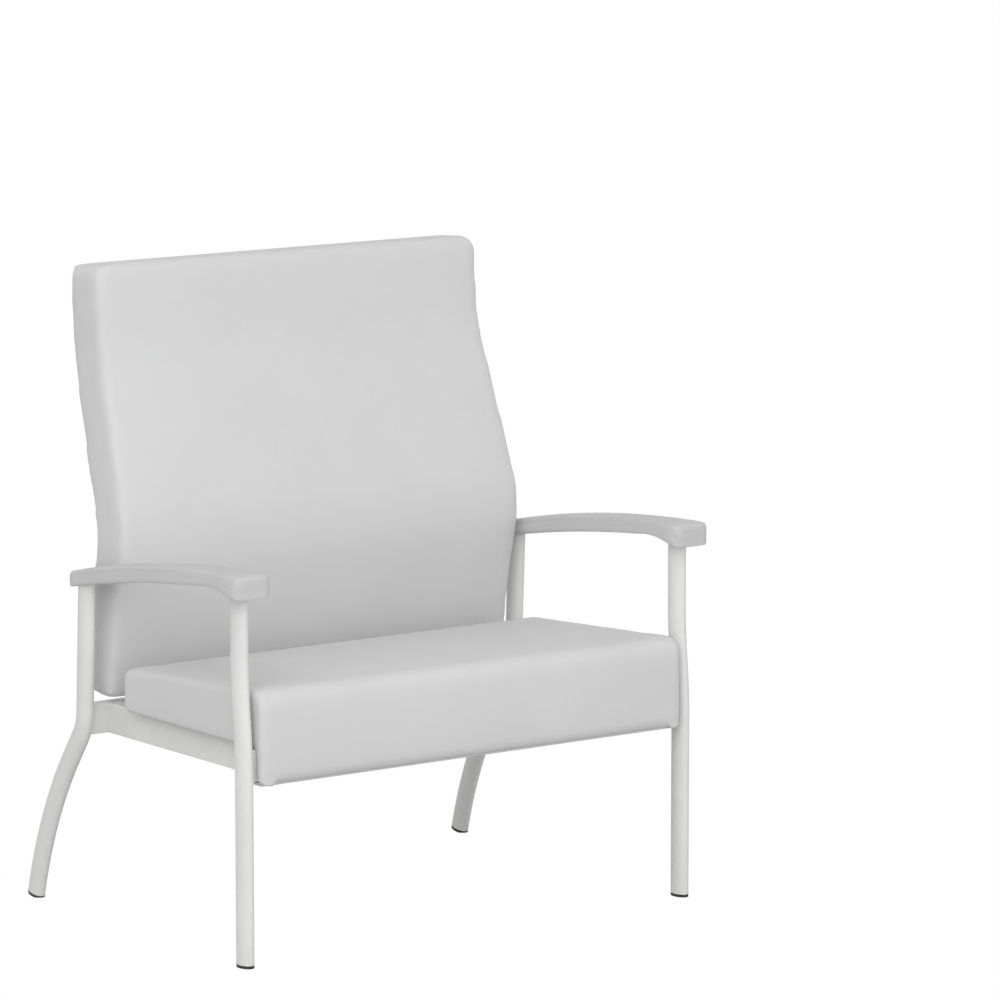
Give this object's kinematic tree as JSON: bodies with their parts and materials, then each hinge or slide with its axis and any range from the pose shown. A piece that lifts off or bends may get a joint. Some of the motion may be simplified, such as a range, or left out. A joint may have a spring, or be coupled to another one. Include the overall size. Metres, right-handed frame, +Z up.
{
  "type": "wide patient chair",
  "caption": "Wide four-leg patient chair with a welded oval-tube steel frame, moulded arm caps, an upholstered seat with a deep front apron and a tall contoured upholstered back.",
  "frame": {"origin": "on the floor, at the centre of the chair's box", "axes": "+X to the sitter's left, +Y to the rear (the sitter faces -Y), +Z up"},
  "size_m": [0.974, 0.7038, 1.107],
  "materials": {
    "frame_paint": "satin powder coat, near white",
    "vinyl": "pale grey coated vinyl with a fine leather grain",
    "arm_plastic": "self-skinned moulded arm cap, fine matt texture, mid grey",
    "glide_nylon": "moulded black nylon",
    "foam": "open-cell polyurethane foam",
    "plywood": "raw birch plywood",
    "dust_cloth": "black non-woven cloth",
    "zinc_steel": "zinc plated"
  },
  "bodies": {
    "root": {"arm_cap_left": "arm_plastic", "arm_cap_right": "arm_plastic", "arm_inserts": "zinc_steel", "arm_plate_left": "frame_paint", "arm_plate_right": "frame_paint", "arm_screws": "zinc_steel", "back_board": "plywood", "back_bolts": "zinc_steel", "back_cover": "vinyl", "back_front_foam": "foam", "back_rear_foam": "foam", "back_t_nuts": "zinc_steel", "back_upright_left": "frame_paint", "back_upright_right": "frame_paint", "centre_rail": "frame_paint", "front_cross_rail": "frame_paint", "front_glide_left": "glide_nylon", "front_glide_right": "glide_nylon", "front_leg_left": "frame_paint", "front_leg_right": "frame_paint", "lower_back_bar": "frame_paint", "rear_cross_rail": "frame_paint", "rear_glide_left": "glide_nylon", "rear_glide_right": "glide_nylon", "rear_leg_left": "frame_paint", "rear_leg_right": "frame_paint", "seat_board": "plywood", "seat_bolts": "zinc_steel", "seat_cover": "vinyl", "seat_dust_cover": "dust_cloth", "seat_foam": "foam", "seat_front_board": "plywood", "seat_t_nuts": "zinc_steel", "seat_tab_front_left": "frame_paint", "seat_tab_front_right": "frame_paint", "seat_tab_rear_left": "frame_paint", "seat_tab_rear_right": "frame_paint", "side_rail_left": "frame_paint", "side_rail_right": "frame_paint", "upper_back_bar": "frame_paint"}
  },
  "joints": []
}
